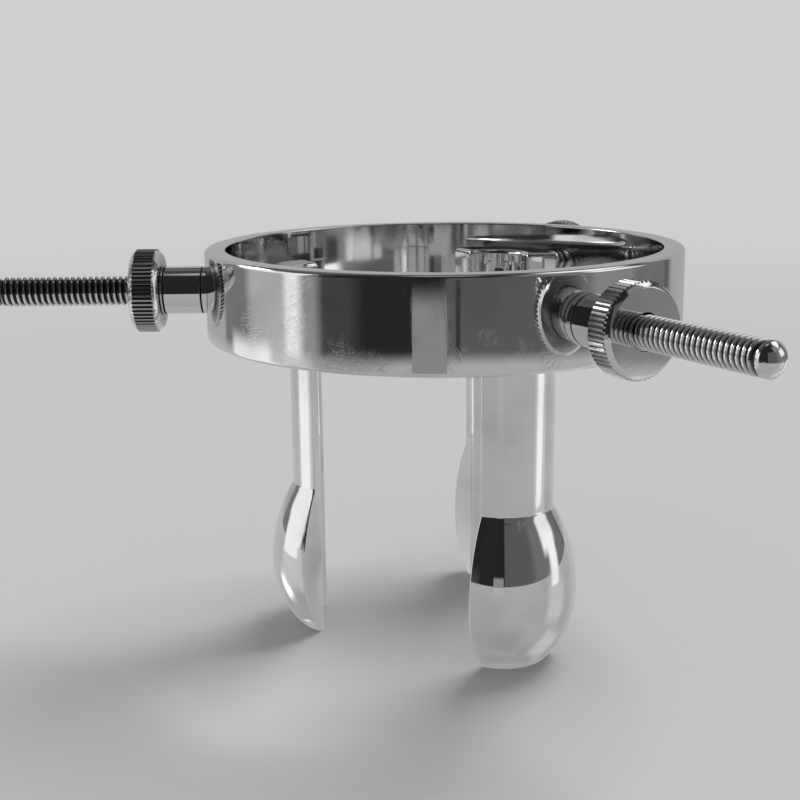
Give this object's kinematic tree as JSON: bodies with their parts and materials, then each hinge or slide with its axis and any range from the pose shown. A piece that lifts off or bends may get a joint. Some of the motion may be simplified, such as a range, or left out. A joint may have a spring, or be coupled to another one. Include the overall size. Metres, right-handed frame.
{
  "type": "anal speculum",
  "caption": "Ring-frame speculum: spoon blades hang inside a polished steel ring, each drawn outward on a threaded rod by a knurled nut.",
  "frame": {"origin": "centre of the ring, on the plane of the rods", "axes": "+Z along the ring's axis, away from the blades; -X along the left rod, outward; +Y away from the picture's camera"},
  "size_m": [0.1472, 0.169, 0.0837],
  "materials": {
    "polished_steel": "mirror polished",
    "turned_steel": "turned and knurled, bright"
  },
  "bodies": {
    "ring": {"ring": "polished_steel", "bush_left": "polished_steel", "sleeve_left": "polished_steel", "washer_left": "polished_steel", "bush_front_right": "polished_steel", "sleeve_front_right": "polished_steel", "washer_front_right": "polished_steel", "bush_back_right": "polished_steel", "sleeve_back_right": "polished_steel", "washer_back_right": "polished_steel"},
    "nut_left": {"nut_left": "turned_steel"},
    "blade_left": {"blade_left": "polished_steel", "head_left": "polished_steel", "rod_left": "turned_steel", "pin_left": "polished_steel"},
    "nut_front_right": {"nut_front_right": "turned_steel"},
    "blade_front_right": {"blade_front_right": "polished_steel", "head_front_right": "polished_steel", "rod_front_right": "turned_steel", "pin_front_right": "polished_steel"},
    "nut_back_right": {"nut_back_right": "turned_steel"},
    "blade_back_right": {"blade_back_right": "polished_steel", "head_back_right": "polished_steel", "rod_back_right": "turned_steel", "pin_back_right": "polished_steel"}
  },
  "joints": [
    {"name": "nut_left_turn", "type": "hinge", "parent": "ring", "child": "nut_left", "pos_m": [-0.0626, 0, 0], "axis": [1, 0, 0], "range_deg": [-6360, 1935]},
    {"name": "blade_left_travel", "type": "slide", "parent": "ring", "child": "blade_left", "axis": [-1, 0, 0], "range_m": [-0.0224, 0.0068]},
    {"name": "nut_front_right_turn", "type": "hinge", "parent": "ring", "child": "nut_front_right", "pos_m": [0.0313, -0.05421, 0], "axis": [-0.5, 0.866, 0], "range_deg": [-6360, 1935]},
    {"name": "blade_front_right_travel", "type": "slide", "parent": "ring", "child": "blade_front_right", "axis": [0.5, -0.866, 0], "range_m": [-0.0224, 0.0068]},
    {"name": "nut_back_right_turn", "type": "hinge", "parent": "ring", "child": "nut_back_right", "pos_m": [0.0313, 0.05421, 0], "axis": [-0.5, -0.866, 0], "range_deg": [-6360, 1935]},
    {"name": "blade_back_right_travel", "type": "slide", "parent": "ring", "child": "blade_back_right", "axis": [0.5, 0.866, 0], "range_m": [-0.0224, 0.0068]}
  ],
  "couplings": [
    {"joint": "nut_left_turn", "follows": "blade_left_travel", "rad_per_m": 4947.4},
    {"joint": "nut_front_right_turn", "follows": "blade_front_right_travel", "rad_per_m": 4947.4},
    {"joint": "nut_back_right_turn", "follows": "blade_back_right_travel", "rad_per_m": 4947.4}
  ]
}
